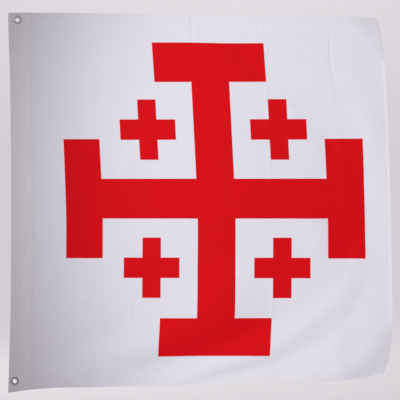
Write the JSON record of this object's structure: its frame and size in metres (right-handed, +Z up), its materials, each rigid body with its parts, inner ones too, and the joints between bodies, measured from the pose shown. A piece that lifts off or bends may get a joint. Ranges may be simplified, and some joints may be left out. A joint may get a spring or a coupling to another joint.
{
  "type": "cross flag",
  "caption": "Square polyester flag hung face on, with a folded heading tape at the hoist, an eyelet near each end of it, turned hems and soft folds.",
  "frame": {"origin": "the middle of the flag's top edge, in the plane of the wall that the flag hangs against", "axes": "+Z up, +X along the top edge from the hoist to the fly, +Y from the viewer into the wall"},
  "size_m": [0.9085, 0.0371, 0.904],
  "materials": {
    "cloth": "matte",
    "tape": "matte",
    "eyelet": "satin"
  },
  "bodies": {
    "root": {"field": "cloth", "heading": "tape", "eyelet_top": "eyelet", "eyelet_bottom": "eyelet"}
  },
  "joints": []
}
